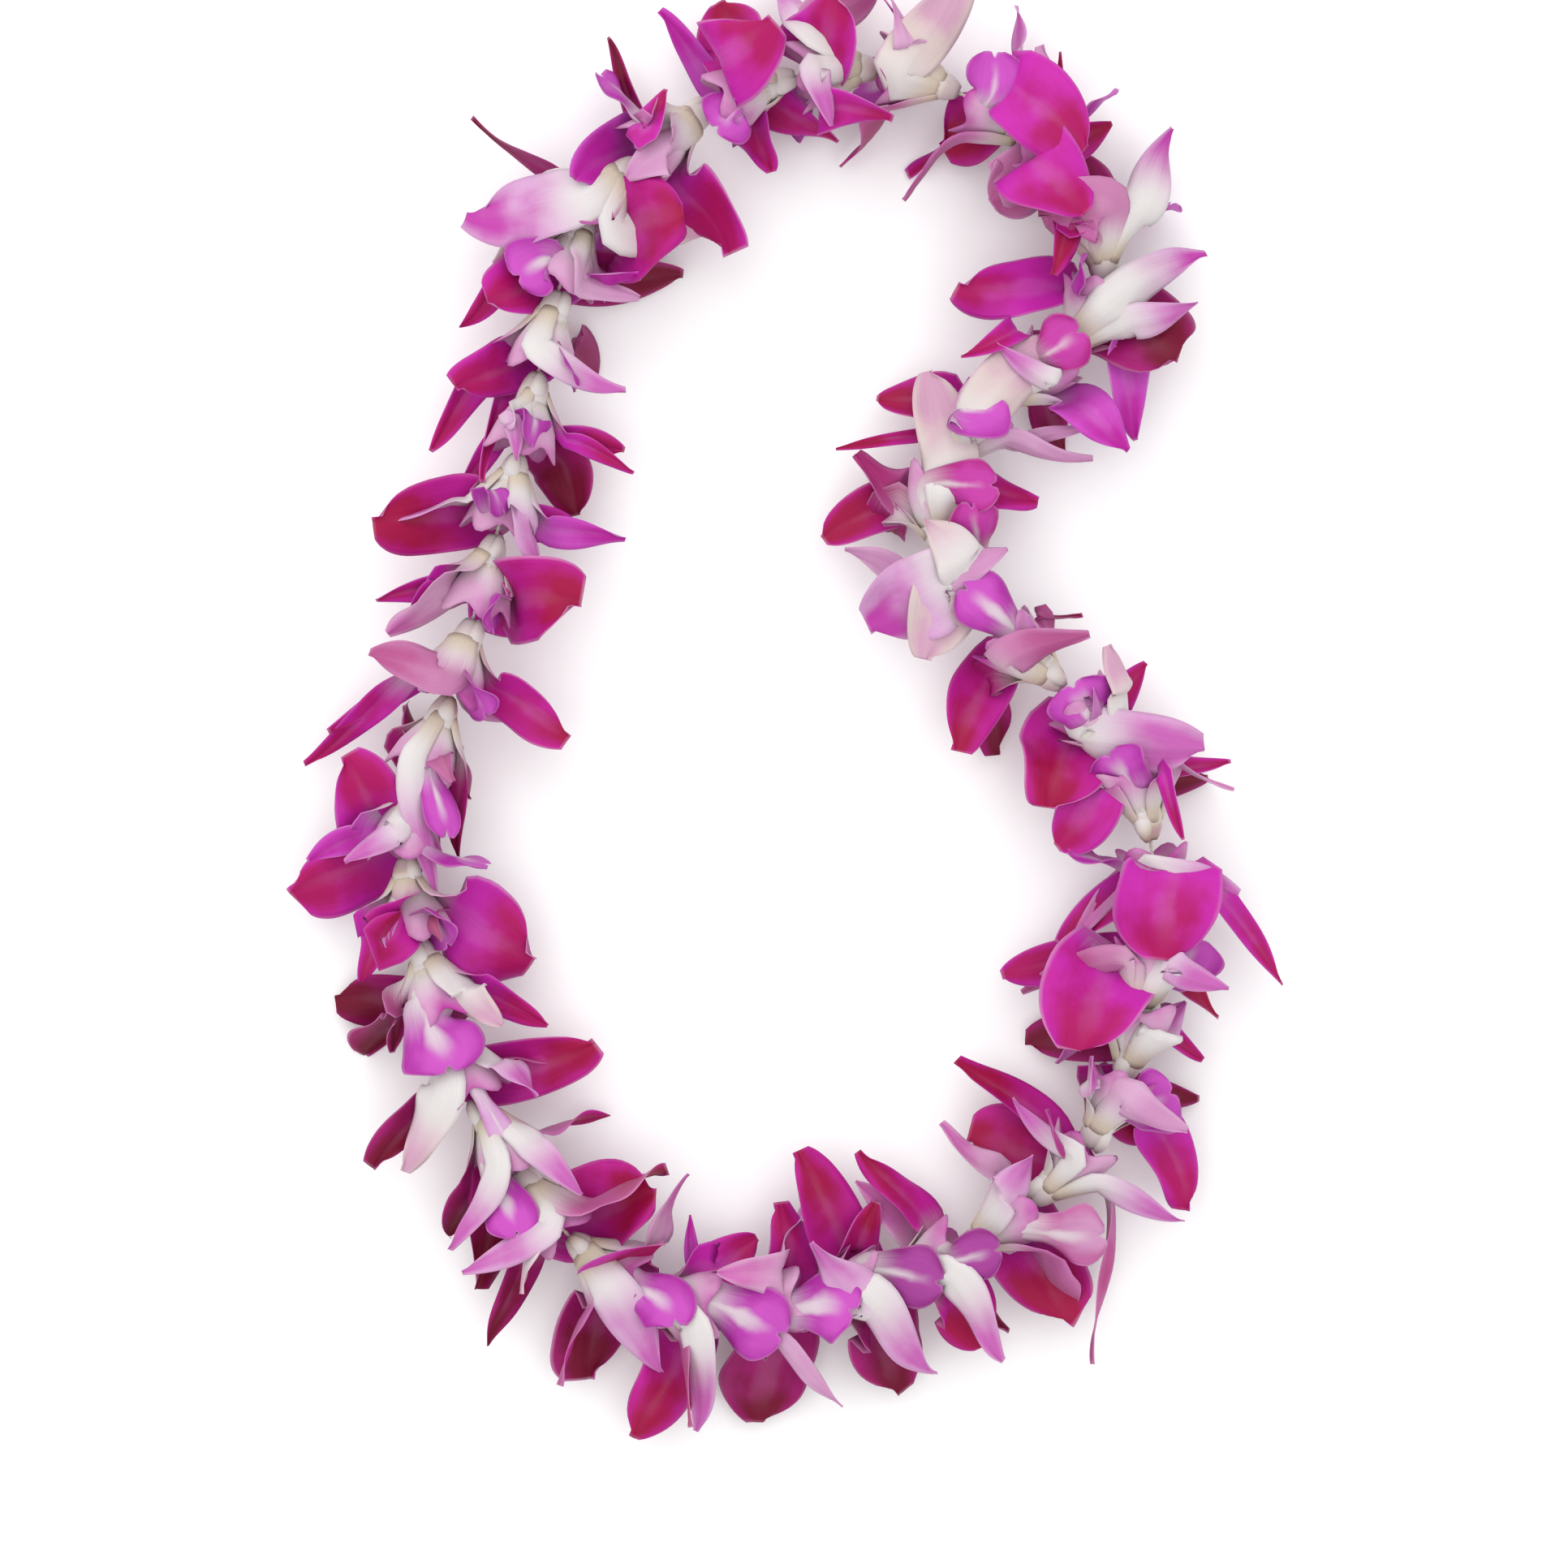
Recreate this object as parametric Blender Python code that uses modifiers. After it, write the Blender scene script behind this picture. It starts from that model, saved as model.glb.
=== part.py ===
"""A single-strand fresh orchid lei: forty blooms strung nose to tail on one knotted cotton string.

Metres, +Z up. The lei lies flat on the surface z = 0 with its long way along Y, and the middle of its
bounding box stands over the origin. Every bloom faces the way the string runs, anticlockwise from above.
Each bloom is one closed sheet: a short throat round the string, three sepals, two petals and a lip.
"""

import math

import bmesh
import bpy
import numpy as np

# The string
STRING_RADIUS = 0.0006
STRING_HEIGHT = 0.022  # of the string's centre over the surface that the lei lies on
STRING_POINTS_PER_BLOOM = 3
KNOT_RADIUS = 0.0019
KNOT_STRETCH = 1.3  # length over width, along the string
KNOT_BLOOM = 38  # the knot hides in the open face of this bloom
KNOT_AHEAD = 0.014  # from that bloom's back end
TAIL_LENGTH = 0.007
TAIL_SPREAD = 0.9  # how far each loose end leaves the string sideways, over its run
TAIL_RISE = 0.5  # how far it lifts, over that sideways reach

# The string's closed route from above
ROUTE = (
    (0.0166, 0.1905), (-0.0240, 0.1775), (-0.0580, 0.1500), (-0.0700, 0.1160), (-0.0770, 0.0845),
    (-0.0850, 0.0557), (-0.0930, 0.0269), (-0.1010, 0.0000), (-0.1110, -0.0240), (-0.1135, -0.0499),
    (-0.1060, -0.0787), (-0.0970, -0.1050), (-0.0830, -0.1330), (-0.0640, -0.1580), (-0.0400, -0.1735),
    (-0.0150, -0.1770), (0.0094, -0.1740), (0.0340, -0.1675), (0.0600, -0.1555), (0.0830, -0.1370),
    (0.0985, -0.1120), (0.1060, -0.0840), (0.1085, -0.0560), (0.1060, -0.0300), (0.0960, -0.0080),
    (0.0780, 0.0090), (0.0580, 0.0270), (0.0450, 0.0470), (0.0440, 0.0660), (0.0560, 0.0860),
    (0.0760, 0.1010), (0.0915, 0.1190), (0.0925, 0.1425), (0.0750, 0.1650), (0.0490, 0.1835),
)
ROUTE_STEPS = 24  # samples between two route points
ROUTE_EASING = 160  # rounds of averaging that ease the bends
INSIDE_PRESS = 0.5  # how strongly the inside of a bend presses petals in towards the string

# The bloom, before it is bent along the string
SHEET = 0.0009
THROAT_LENGTH = 0.007
THROAT_BACK_RADIUS = 0.0016
THROAT_RIM_RADIUS = 0.0034
SEPAL_HALF_ANGLE = 24
PETAL_HALF_ANGLE = 38
LIP_HALF_ANGLE = 32
SEPAL = {"length": 0.034, "width": 0.0115}
PETAL = {"length": 0.036, "width": 0.0215}
LIP = {"length": 0.025, "width": 0.0175}
# Share of the length where each row of points lies, and the width there as a share of the full width
ROWS = ((0.33, 0.72), (0.70, 1.0), (1.0, 0.0))
CUP = 0.16  # rise of the edges over the middle, as a share of the half width
# Slope of each stretch of a petal from the string's direction: upright, and what a full sweep adds to it
SLOPES = (49, 77, 92)
SWEEP_SLOPES = (11, 20, 28)
LIP_SLOPES = (30, 38, 62)
LIP_SWEEP_SLOPES = (4, 6, 10)

# One row for each bloom: the roll of its back sepal round the string from the outside of the loop, up
# and over, in degrees, then the sweep of its back sepal, the petal and sepal after it, the lip, and the
# sepal and petal on the other side, from -1 pressed forward to 1 rolled back
BLOOMS = (
    (150, -0.4, 0.8, 0.2, 0.0, -0.5, 0.6),
    (35, 0.5, -0.3, 0.6, 0.3, -0.2, 0.9),
    (100, -0.8, 0.7, -0.4, 0.0, 0.3, -0.5),
    (200, 0.2, 0.9, -0.6, 0.5, -0.1, 0.4),
    (60, -0.5, 0.5, 0.8, -0.4, 0.2, 0.7),
    (130, 0.6, -0.6, 0.3, 0.2, -0.7, 0.9),
    (10, -0.2, 0.8, -0.5, 0.4, 0.6, -0.3),
    (85, -0.7, 0.4, 0.7, -0.2, -0.4, 0.8),
    (170, 0.4, -0.5, 0.9, 0.0, 0.1, 0.5),
    (45, -0.6, 0.9, -0.2, 0.5, 0.7, -0.4),
    (120, 0.3, 0.6, -0.8, -0.3, -0.5, 0.7),
    (215, -0.4, 0.8, 0.5, 0.2, 0.4, -0.6),
    (75, 0.7, -0.4, 0.3, -0.5, -0.3, 0.9),
    (145, -0.8, 0.5, 0.6, 0.4, 0.1, 0.3),
    (25, 0.2, 0.9, -0.5, 0.0, -0.6, 0.8),
    (95, -0.3, -0.6, 0.8, 0.3, 0.5, 0.6),
    (300, 0.5, 0.7, -0.4, -0.2, -0.7, 0.4),
    (285, -0.6, 0.9, 0.2, 0.5, 0.4, -0.5),
    (270, 0.4, -0.3, 0.7, -0.4, 0.2, 0.8),
    (260, -0.5, 0.6, -0.6, 0.1, 0.6, 0.7),
    (280, 0.3, 0.8, 0.4, 0.4, -0.4, -0.2),
    (110, -0.7, -0.5, 0.9, -0.3, 0.3, 0.6),
    (50, 0.6, 0.7, -0.3, 0.2, -0.5, 0.9),
    (160, -0.2, 0.4, 0.6, 0.5, 0.7, -0.6),
    (80, -0.8, 0.9, -0.5, 0.0, 0.1, 0.5),
    (190, 0.5, -0.4, 0.8, -0.5, -0.6, 0.7),
    (65, -0.4, 0.6, 0.3, 0.3, 0.4, 0.8),
    (140, 0.7, 0.8, -0.7, 0.1, -0.3, -0.5),
    (15, -0.5, -0.6, 0.5, -0.2, 0.6, 0.9),
    (105, 0.2, 0.5, 0.9, 0.4, -0.2, 0.3),
    (225, -0.6, 0.9, -0.4, 0.5, 0.3, -0.4),
    (70, 0.4, -0.3, 0.6, -0.3, -0.7, 0.8),
    (155, -0.3, 0.7, -0.6, 0.0, 0.5, 0.6),
    (40, 0.6, 0.4, 0.8, 0.2, -0.4, -0.6),
    (125, -0.8, 0.8, 0.2, -0.4, 0.2, 0.9),
    (180, 0.3, -0.5, -0.3, 0.5, 0.7, 0.5),
    (90, -0.5, 0.6, 0.7, 0.1, -0.6, 0.7),
    (55, 0.5, 0.9, -0.5, -0.2, 0.4, -0.3),
    (135, -0.2, -0.4, 0.4, 0.3, -0.5, 0.8),
    (5, 0.7, 0.7, 0.9, 0.0, 0.1, 0.4),
)

PETAL_COLOUR = (0.52, 0.01, 0.29, 1.0)
STRING_COLOUR = (0.82, 0.78, 0.68, 1.0)


def clear_scene():
    for old in list(bpy.data.objects):
        bpy.data.objects.remove(old, do_unlink=True)


def new_collection(name):
    made = bpy.data.collections.new(name)
    bpy.context.scene.collection.children.link(made)
    return made


def new_material(name, colour, roughness):
    made = bpy.data.materials.new(name)
    made.use_nodes = True
    shader = made.node_tree.nodes["Principled BSDF"]
    shader.inputs["Base Color"].default_value = colour
    shader.inputs["Roughness"].default_value = roughness
    shader.inputs["Metallic"].default_value = 0.0
    return made


def new_object(name, data, home):
    made = bpy.data.objects.new(name, data)
    home.objects.link(made)
    return made


class Route:
    """The string's closed line, with its length and the direction it runs at each place."""

    def __init__(self, corners):
        line = self.through(np.array(corners))
        for _ in range(ROUTE_EASING):
            line = (np.roll(line, 1, axis=0) + 2 * line + np.roll(line, -1, axis=0)) / 4
        steps = np.linalg.norm(np.roll(line, -1, axis=0) - line, axis=1)
        self.along = np.concatenate([[0], np.cumsum(steps)])
        self.line = np.vstack([line, line[:1]])
        self.length = self.along[-1]

    @staticmethod
    def through(corners):
        """Samples of a closed Catmull-Rom curve through the corners."""
        before, after = np.roll(corners, 1, axis=0), np.roll(corners, -1, axis=0)
        beyond = np.roll(corners, -2, axis=0)
        share = np.linspace(0, 1, ROUTE_STEPS, endpoint=False)[:, None]
        spans = []
        for a, b, c, d in zip(before, corners, after, beyond):
            slope_b, slope_c = (c - a) / 2, (d - b) / 2
            bend = 3 * (c - b) - 2 * slope_b - slope_c
            twist = 2 * (b - c) + slope_b + slope_c
            spans.append(b + slope_b * share + bend * share**2 + twist * share**3)
        return np.vstack(spans)

    def point(self, s):
        s = s % self.length
        return np.array([np.interp(s, self.along, self.line[:, axis]) for axis in (0, 1)])

    def forward(self, s):
        step = 0.002
        way = self.point(s + step) - self.point(s - step)
        return way / np.linalg.norm(way)

    def bend(self, s):
        """How fast the route turns left, in radians a metre."""
        step = 0.006
        a, b = self.forward(s - step), self.forward(s + step)
        return math.atan2(a[0] * b[1] - a[1] * b[0], a @ b) / (2 * step)

    def place(self, s, right, up):
        """The world point at s along the string, right of it and over it, with crowding inside a bend and on
        the surface below taken up by pressing the space there together."""
        inward = self.bend(s) * -right
        if inward > 0:
            right = right / (1 + INSIDE_PRESS * inward)
        if up < 0:
            room = STRING_HEIGHT - SHEET
            up = -room * math.tanh(-up / room)
        across, way = self.point(s), self.forward(s)
        x, y = across + right * np.array([way[1], -way[0]])
        return (x, y, STRING_HEIGHT + up)


def petal_kinds():
    """Middle angle, half angle, size, slopes and swept slopes of each piece round the throat."""
    sepal = (SEPAL_HALF_ANGLE, SEPAL, SLOPES, SWEEP_SLOPES)
    petal = (PETAL_HALF_ANGLE, PETAL, SLOPES, SWEEP_SLOPES)
    lip = (LIP_HALF_ANGLE, LIP, LIP_SLOPES, LIP_SWEEP_SLOPES)
    middle, placed = 0, []
    order = (sepal, petal, sepal, lip, sepal, petal)
    for this, following in zip(order, order[1:] + order[:1]):
        placed.append((middle,) + this)
        middle += this[0] + following[0]
    return placed


def petal_rows(roll, middle, size, slopes, swept, sweep):
    """For each row out along a petal, the points at its right edge, middle and left edge, as ahead, right, up."""
    turn = math.radians(roll + middle)
    outward = np.array([0, math.cos(turn), math.sin(turn)])
    sideways = np.array([0, -math.sin(turn), math.cos(turn)])
    ahead = np.array([1.0, 0, 0])
    spot = THROAT_LENGTH * ahead + THROAT_RIM_RADIUS * outward
    reached, rows = 0.0, []
    for (share, breadth), slope, more in zip(ROWS, slopes, swept):
        angle = math.radians(slope + sweep * more)
        step = (share - reached) * size["length"]
        spot = spot + step * (math.cos(angle) * ahead + math.sin(angle) * outward)
        face = math.sin(angle) * ahead - math.cos(angle) * outward
        half = breadth * size["width"] / 2
        rows.append([spot + half * (side * sideways + CUP * abs(side) * face) for side in (-1, 0, 1)])
        reached = share
    return rows


def extruded(sheet, rim):
    """A new row of vertices drawn out from the rim's, in the rim's order."""
    edges = [sheet.edges.get(pair) for pair in zip(rim, rim[1:])]
    if rim[0] is rim[-1]:
        rim = rim[:-1]
    drawn = bmesh.ops.extrude_edge_only(sheet, edges=edges)["geom"]
    fresh = [v for v in drawn if isinstance(v, bmesh.types.BMVert)]
    return [min(fresh, key=lambda v: (v.co - old.co).length) for old in rim]


def bloom_sheet(row):
    """The bloom's open middle sheet in its own straight frame: X ahead, Y right, Z up."""
    roll, sweeps = row[0], row[1:]
    kinds = petal_kinds()
    angles = []
    for middle, half, *_ in kinds:
        angles += [middle, middle + half]
    sheet = bmesh.new()
    back = bmesh.ops.create_circle(sheet, segments=len(angles), radius=THROAT_BACK_RADIUS)["verts"]
    for corner, angle in zip(back, angles):
        turn = math.radians(roll + angle)
        corner.co = (0, THROAT_BACK_RADIUS * math.cos(turn), THROAT_BACK_RADIUS * math.sin(turn))
    rim = extruded(sheet, back + back[:1])
    for corner in rim:
        corner.co.yz = corner.co.yz * (THROAT_RIM_RADIUS / THROAT_BACK_RADIUS)
        corner.co.x = THROAT_LENGTH
    for index, (kind, sweep) in enumerate(zip(kinds, sweeps)):
        middle, _, size, slopes, swept = kind
        line = [rim[2 * index - 1], rim[2 * index], rim[(2 * index + 1) % len(rim)]]
        for points in petal_rows(roll, middle, size, slopes, swept, sweep):
            line = extruded(sheet, line)
            for corner, point in zip(line, points):
                corner.co = point
        bmesh.ops.pointmerge(sheet, verts=line, merge_co=line[1].co)
    return sheet


def make_bloom(number, row, route, pitch, home, material):
    """One bloom, its sheet bent along the string and then given its thickness."""
    sheet = bloom_sheet(row)
    start = (number - 1) * pitch
    for corner in sheet.verts:
        ahead, right, up = corner.co
        corner.co = route.place(start + ahead, right, up)
    bmesh.ops.recalc_face_normals(sheet, faces=sheet.faces[:])
    mesh = bpy.data.meshes.new(f"flower_{number:02d}")
    sheet.to_mesh(mesh)
    sheet.free()
    mesh.shade_smooth()
    mesh.materials.append(material)
    bloom = new_object(f"flower_{number:02d}", mesh, home)
    thick = bloom.modifiers.new("thickness", "SOLIDIFY")
    thick.thickness = SHEET
    thick.offset = 0
    thick.use_even_offset = False
    return bloom


def tube(name, points, closed, home):
    """A mesh tube of the string's own thickness along the points."""
    curve = bpy.data.curves.new(name, "CURVE")
    curve.dimensions = "3D"
    curve.bevel_depth = STRING_RADIUS
    curve.bevel_resolution = 2
    curve.use_fill_caps = True
    line = curve.splines.new("POLY")
    line.points.add(len(points) - 1)
    for spot, point in zip(line.points, points):
        spot.co = (*point, 1)
    line.use_cyclic_u = closed
    drawn = new_object(name + "_line", curve, home)
    bpy.context.view_layer.update()
    mesh = bpy.data.meshes.new_from_object(drawn.evaluated_get(bpy.context.evaluated_depsgraph_get()))
    welded = bmesh.new()
    welded.from_mesh(mesh)
    bmesh.ops.remove_doubles(welded, verts=welded.verts[:], dist=0.00001)
    welded.to_mesh(mesh)
    welded.free()
    bpy.data.objects.remove(drawn)
    return new_object(name, mesh, home)


def joined_on(body, extra):
    extra.hide_render = True
    extra.display_type = "WIRE"
    join = body.modifiers.new(extra.name, "BOOLEAN")
    join.operation = "UNION"
    join.object = extra


def make_string(route, pitch, home, cutters, material):
    """The tied string: its loop, its knot and the knot's two loose ends."""
    count = STRING_POINTS_PER_BLOOM * len(BLOOMS)
    points = [route.place(route.length * i / count, 0, 0) for i in range(count)]
    string = tube("string", points, True, home)
    string.data.materials.append(material)
    string.data.shade_smooth()
    at = (KNOT_BLOOM - 1) * pitch + KNOT_AHEAD
    way = route.forward(at)
    bpy.ops.mesh.primitive_uv_sphere_add(segments=10, ring_count=6, radius=KNOT_RADIUS)
    knot = bpy.context.object
    knot.name = "knot_shape"
    knot.location = route.place(at, 0, 0)
    knot.rotation_euler = (0, math.radians(90), math.atan2(way[1], way[0]))
    knot.scale = (1, 1, KNOT_STRETCH)
    for home_now in list(knot.users_collection):
        home_now.objects.unlink(knot)
    cutters.objects.link(knot)
    joined_on(string, knot)
    for side, name in ((1, "knot_end_right_shape"), (-1, "knot_end_left_shape")):
        run = [(share * TAIL_LENGTH, side * share * TAIL_LENGTH * TAIL_SPREAD) for share in (0, 0.5, 1)]
        points = [route.place(at + ahead, right, abs(right) * TAIL_RISE) for ahead, right in run]
        joined_on(string, tube(name, points, False, cutters))
    return string


def stand_on_origin(pieces):
    """Moves every piece alike, so that the middle of the lei's underside is at the origin."""
    bpy.context.view_layer.update()
    depsgraph = bpy.context.evaluated_depsgraph_get()
    corners = []
    for piece in pieces:
        shape = piece.evaluated_get(depsgraph).to_mesh()
        corners += [tuple(piece.matrix_world @ v.co) for v in shape.vertices]
    low, high = np.min(corners, axis=0), np.max(corners, axis=0)
    middle = ((low[0] + high[0]) / 2, (low[1] + high[1]) / 2, low[2])
    for thing in bpy.data.objects:
        thing.location = [place - off for place, off in zip(thing.location, middle)]


def main():
    clear_scene()
    lei = new_collection("fresh_flower_lei")
    cutters = new_collection("cutters")
    route = Route(ROUTE)
    pitch = route.length / len(BLOOMS)
    petal_material = new_material("orchid_petal", PETAL_COLOUR, 0.45)
    string_material = new_material("cotton_string", STRING_COLOUR, 0.9)
    pieces = [make_bloom(number, row, route, pitch, lei, petal_material)
              for number, row in enumerate(BLOOMS, start=1)]
    pieces.append(make_string(route, pitch, lei, cutters, string_material))
    stand_on_origin(pieces)


main()
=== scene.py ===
"""Looks of the fresh orchid lei: forty blooms on one knotted cotton string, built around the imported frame.

Metres, +Z up, in the frame's own place. The route, the string's radius and height, the floor and the
lights are in metres, and all other sizes are in millimetres. The blooms' table gives places on the string's
own plan, which is moved as a whole onto the frame's string.
"""

import math
import random

import bpy
import numpy as np
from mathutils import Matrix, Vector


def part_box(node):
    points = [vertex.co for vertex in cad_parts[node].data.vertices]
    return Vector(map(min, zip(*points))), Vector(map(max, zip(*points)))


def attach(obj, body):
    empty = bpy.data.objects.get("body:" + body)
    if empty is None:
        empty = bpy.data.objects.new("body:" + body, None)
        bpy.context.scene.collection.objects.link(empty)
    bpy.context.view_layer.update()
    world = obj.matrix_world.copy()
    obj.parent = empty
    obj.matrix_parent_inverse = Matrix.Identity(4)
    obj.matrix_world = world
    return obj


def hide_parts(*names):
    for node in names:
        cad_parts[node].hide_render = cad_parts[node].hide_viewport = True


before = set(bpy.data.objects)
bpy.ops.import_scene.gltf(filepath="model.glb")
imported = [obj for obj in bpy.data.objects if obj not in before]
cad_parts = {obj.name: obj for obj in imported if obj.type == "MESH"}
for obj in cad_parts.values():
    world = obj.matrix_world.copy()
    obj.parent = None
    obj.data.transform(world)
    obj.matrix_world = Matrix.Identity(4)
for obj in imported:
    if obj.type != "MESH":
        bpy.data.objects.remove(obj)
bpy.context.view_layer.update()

MM = 0.001
UP = np.array([0.0, 0.0, 1.0])
SEED = 40

# The string's closed route from above, in metres, as the CAD source has it
ROUTE = (
    (0.0166, 0.1905), (-0.0240, 0.1775), (-0.0580, 0.1500), (-0.0700, 0.1160), (-0.0770, 0.0845),
    (-0.0850, 0.0557), (-0.0930, 0.0269), (-0.1010, 0.0000), (-0.1110, -0.0240), (-0.1135, -0.0499),
    (-0.1060, -0.0787), (-0.0970, -0.1050), (-0.0830, -0.1330), (-0.0640, -0.1580), (-0.0400, -0.1735),
    (-0.0150, -0.1770), (0.0094, -0.1740), (0.0340, -0.1675), (0.0600, -0.1555), (0.0830, -0.1370),
    (0.0985, -0.1120), (0.1060, -0.0840), (0.1085, -0.0560), (0.1060, -0.0300), (0.0960, -0.0080),
    (0.0780, 0.0090), (0.0580, 0.0270), (0.0450, 0.0470), (0.0440, 0.0660), (0.0560, 0.0860),
    (0.0760, 0.1010), (0.0915, 0.1190), (0.0925, 0.1425), (0.0750, 0.1650), (0.0490, 0.1835),
)
ROUTE_STEPS = 24
ROUTE_EASING = 160
STRING_RADIUS = 0.0006
STRING_HEIGHT = 0.022

# Its two plies: how far each winds from the middle, its own radius, and the length of one turn
PLY_OFFSET = 0.28
PLY_RADIUS = 0.33
PLY_LAY = 3.2
PLY_RINGS = 1200
PLY_SPOKES = 6

# Its knot: the bloom whose face hides it, how far ahead of that bloom's even place it is, its turns, its
# length, how far from the string's middle it winds, and the length of its two ends
KNOT_BLOOM = 38
KNOT_AHEAD = 5.0
KNOT_TURNS = 2.5
KNOT_LENGTH = 3.2
KNOT_RADIUS = 1.2
KNOT_RINGS = 40
KNOT_SPOKES = 8
TAIL_LENGTH = 6.0

# The throat that the string runs through: steps from its cut back end to its mouth, and its radius at each
THROAT_LENGTH = 9.0
THROAT_STEPS = (0.0, 1.0, 3.0, 6.0, 9.0)
THROAT_RADII = (2.0, 2.8, 3.8, 4.6, 5.0)
# Its chin, on the lip's side: how far out from the string, how far back from the mouth, and its radius
CHIN_OUT = (1.5, 2.6, 3.2, 3.3, 2.8)
CHIN_BACK = (2.0, 3.4, 5.4, 7.4, 9.2)
CHIN_RADII = (2.8, 2.8, 2.4, 1.8, 0.8)
# The column, on the other side: how far ahead of the mouth, its radius, and how it stands off the string
COLUMN_AHEAD = (-1, 1, 3, 5, 6.4, 7.2)
COLUMN_RADII = (1.4, 1.7, 1.8, 2.0, 1.7, 0.6)
COLUMN_OFFSET = 1.6
COLUMN_SLOPE = 0.1
THROAT_SPOKES = 16
STEM_SPOKES = 12

# The pieces round the mouth start inside the throat, in layers: P is a petal, S a sepal and L the lip
RIM_RADIUS = 4.6
RIM_INSET = 0.9
RIM_LEVEL = {"P": 0.0, "S": 0.4, "L": -0.5}
ROOT_INSIDE = 4.0
LENGTHS = {"P": 46.0, "S": 44.0, "L": 36.0}
# A piece's own width over the width that shows, the widest that one gets, and the width of a spare
FULLNESS = {"P": 1.16, "S": 1.18, "L": 1.0}
WIDEST = {"P": 33.0, "S": 18.0, "L": 29.0}
SPARE_WIDTH = {"P": 25.0, "S": 13.5, "L": 20.0}
NARROWEST = 6.5
# Degrees that a piece leans out as it leaves, how far it runs straight, and how gently it flares after that
LEAN = {"P": 30.0, "S": 32.0, "L": 22.0}
CUP = {"P": 13.0, "S": 13.5, "L": 12.0}
FLARE = {"P": 7.0, "S": 6.0, "L": 6.0}
CUP_POINTS = 8
FLARE_POINTS = 40
# Rows along each piece and columns across it
GRID = {"P": (26, 13), "S": (26, 9), "L": (30, 19)}
# Tips nearer the string than OVER_STRING stand TIP_CLEARANCE over it, apart from dark ones, whose colour is
# painted shade
OVER_STRING = 14.0
TIP_CLEARANCE = 11.0
DARK_TONES = "dp"
# Other tips rise or drop by a share of their room: most of them, those turned over, and dark ones painted in
# shade
TIP_RISE = -0.28
TURNED_TIP_RISE = 0.3
DARK_TIP_RISE = -0.65
# Spares below the string, then above it: the share of their reach that they use, and how they lean ahead
SPARE_REACH = (0.85, 0.55)
SPARE_AHEAD = ((0.0, 0.7), (1.2, 2.4))
# The funnel that the pieces' bases make together: its radius at each step ahead of its back end
CUP_BACK = 0.5
CUP_LENGTH = 17.0
CUP_WALL = 0.5
CUP_STEPS = (0.0, 4.0, 8.0, 17.0)
CUP_RADII = (4.6, 6.8, 8.8, 11.0)
CUP_RINGS = 9
CUP_SPOKES = 36
# How far along a piece its white base reaches, as a share of its length
WHITE_REACH = {"P": 0.22, "S": 0.27, "L": 0.54}
# Thickness of a petal and of a lip
SHEET = 0.5
LIP_SHEET = 0.6
# Heights over the surface: the lowest of a piece's back, front and middle line, and its highest tip
LOWEST_BACK = 0.35
LOWEST_FRONT = 0.7
LOWEST = 0.9
HIGHEST = 47.0

# The camera looks straight down from this height over the string, onto this place and width of its plan
EYE_HEIGHT = 1500.0
PICTURE_MIDDLE = (-1.2, -22.6)
PICTURE_WIDTH = 463.7
SENSOR_WIDTH = 36.0

# The floor's size, and how far it lies below the lei, in metres
FLOOR_SIZE = 6.0
FLOOR_DROP = 0.0002

# Colours of each tone of petal: front towards its tip, front towards its base and sides, then the back's two
# The violet towards a front's base and sides is partly the petals' own colour and partly a painted highlight
TONES = {
    "m": ((0.36, 0.005, 0.100), (0.50, 0.020, 0.36), (0.42, 0.12, 0.26), (0.46, 0.13, 0.33)),
    "c": ((0.31, 0.004, 0.052), (0.46, 0.013, 0.27), (0.40, 0.09, 0.19), (0.44, 0.10, 0.27)),
    # d: a dark crimson that paints shade on pieces lying low under others
    "d": ((0.15, 0.003, 0.024), (0.33, 0.009, 0.15), (0.27, 0.04, 0.11), (0.33, 0.06, 0.19)),
    "v": ((0.42, 0.014, 0.290), (0.52, 0.070, 0.46), (0.46, 0.16, 0.39), (0.52, 0.20, 0.47)),
    "p": ((0.20, 0.007, 0.130), (0.34, 0.04, 0.28), (0.28, 0.06, 0.20), (0.38, 0.11, 0.31)),
    "l": ((0.52, 0.13, 0.38), (0.58, 0.32, 0.49), (0.53, 0.24, 0.44), (0.58, 0.33, 0.50)),
    "w": ((0.47, 0.07, 0.36), (0.55, 0.25, 0.49), (0.49, 0.11, 0.39), (0.57, 0.32, 0.52)),
    "r": ((0.38, 0.03, 0.17), (0.47, 0.12, 0.32), (0.40, 0.08, 0.23), (0.48, 0.18, 0.35)),
    "x": ((0.44, 0.035, 0.33), (0.57, 0.32, 0.53), (0.44, 0.045, 0.33), (0.57, 0.32, 0.53)),
    "k": ((0.52, 0.22, 0.38), (0.60, 0.46, 0.46), (0.54, 0.30, 0.42), (0.60, 0.50, 0.47)),
}
# How many times as far the white runs in the whiter tones
WHITER = {"w": 2.0, "k": 2.4, "x": 2.7}
# A lip's colours: along its middle, then at its sides and base
LIP_TONES = {
    "v": ((0.50, 0.07, 0.44), (0.32, 0.012, 0.26)),
    "m": ((0.46, 0.04, 0.31), (0.33, 0.007, 0.15)),
    "p": ((0.34, 0.05, 0.28), (0.20, 0.008, 0.14)),
    "l": ((0.58, 0.34, 0.55), (0.52, 0.15, 0.45)),
    "r": ((0.52, 0.24, 0.42), (0.42, 0.08, 0.26)),
}
WHITE = (0.64, 0.605, 0.60)
# Cream, tan and rose paint shade deep in the throats, chins and petal roots; the cream is partly their own
# ivory
SHADED_CREAM = (0.58, 0.50, 0.39)
SHADE_TAN = (0.44, 0.27, 0.18)
SHADE_ROSE = (0.46, 0.24, 0.25)
PALE_RIM = (0.66, 0.34, 0.56)
BROWN = (0.20, 0.075, 0.03)
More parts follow.
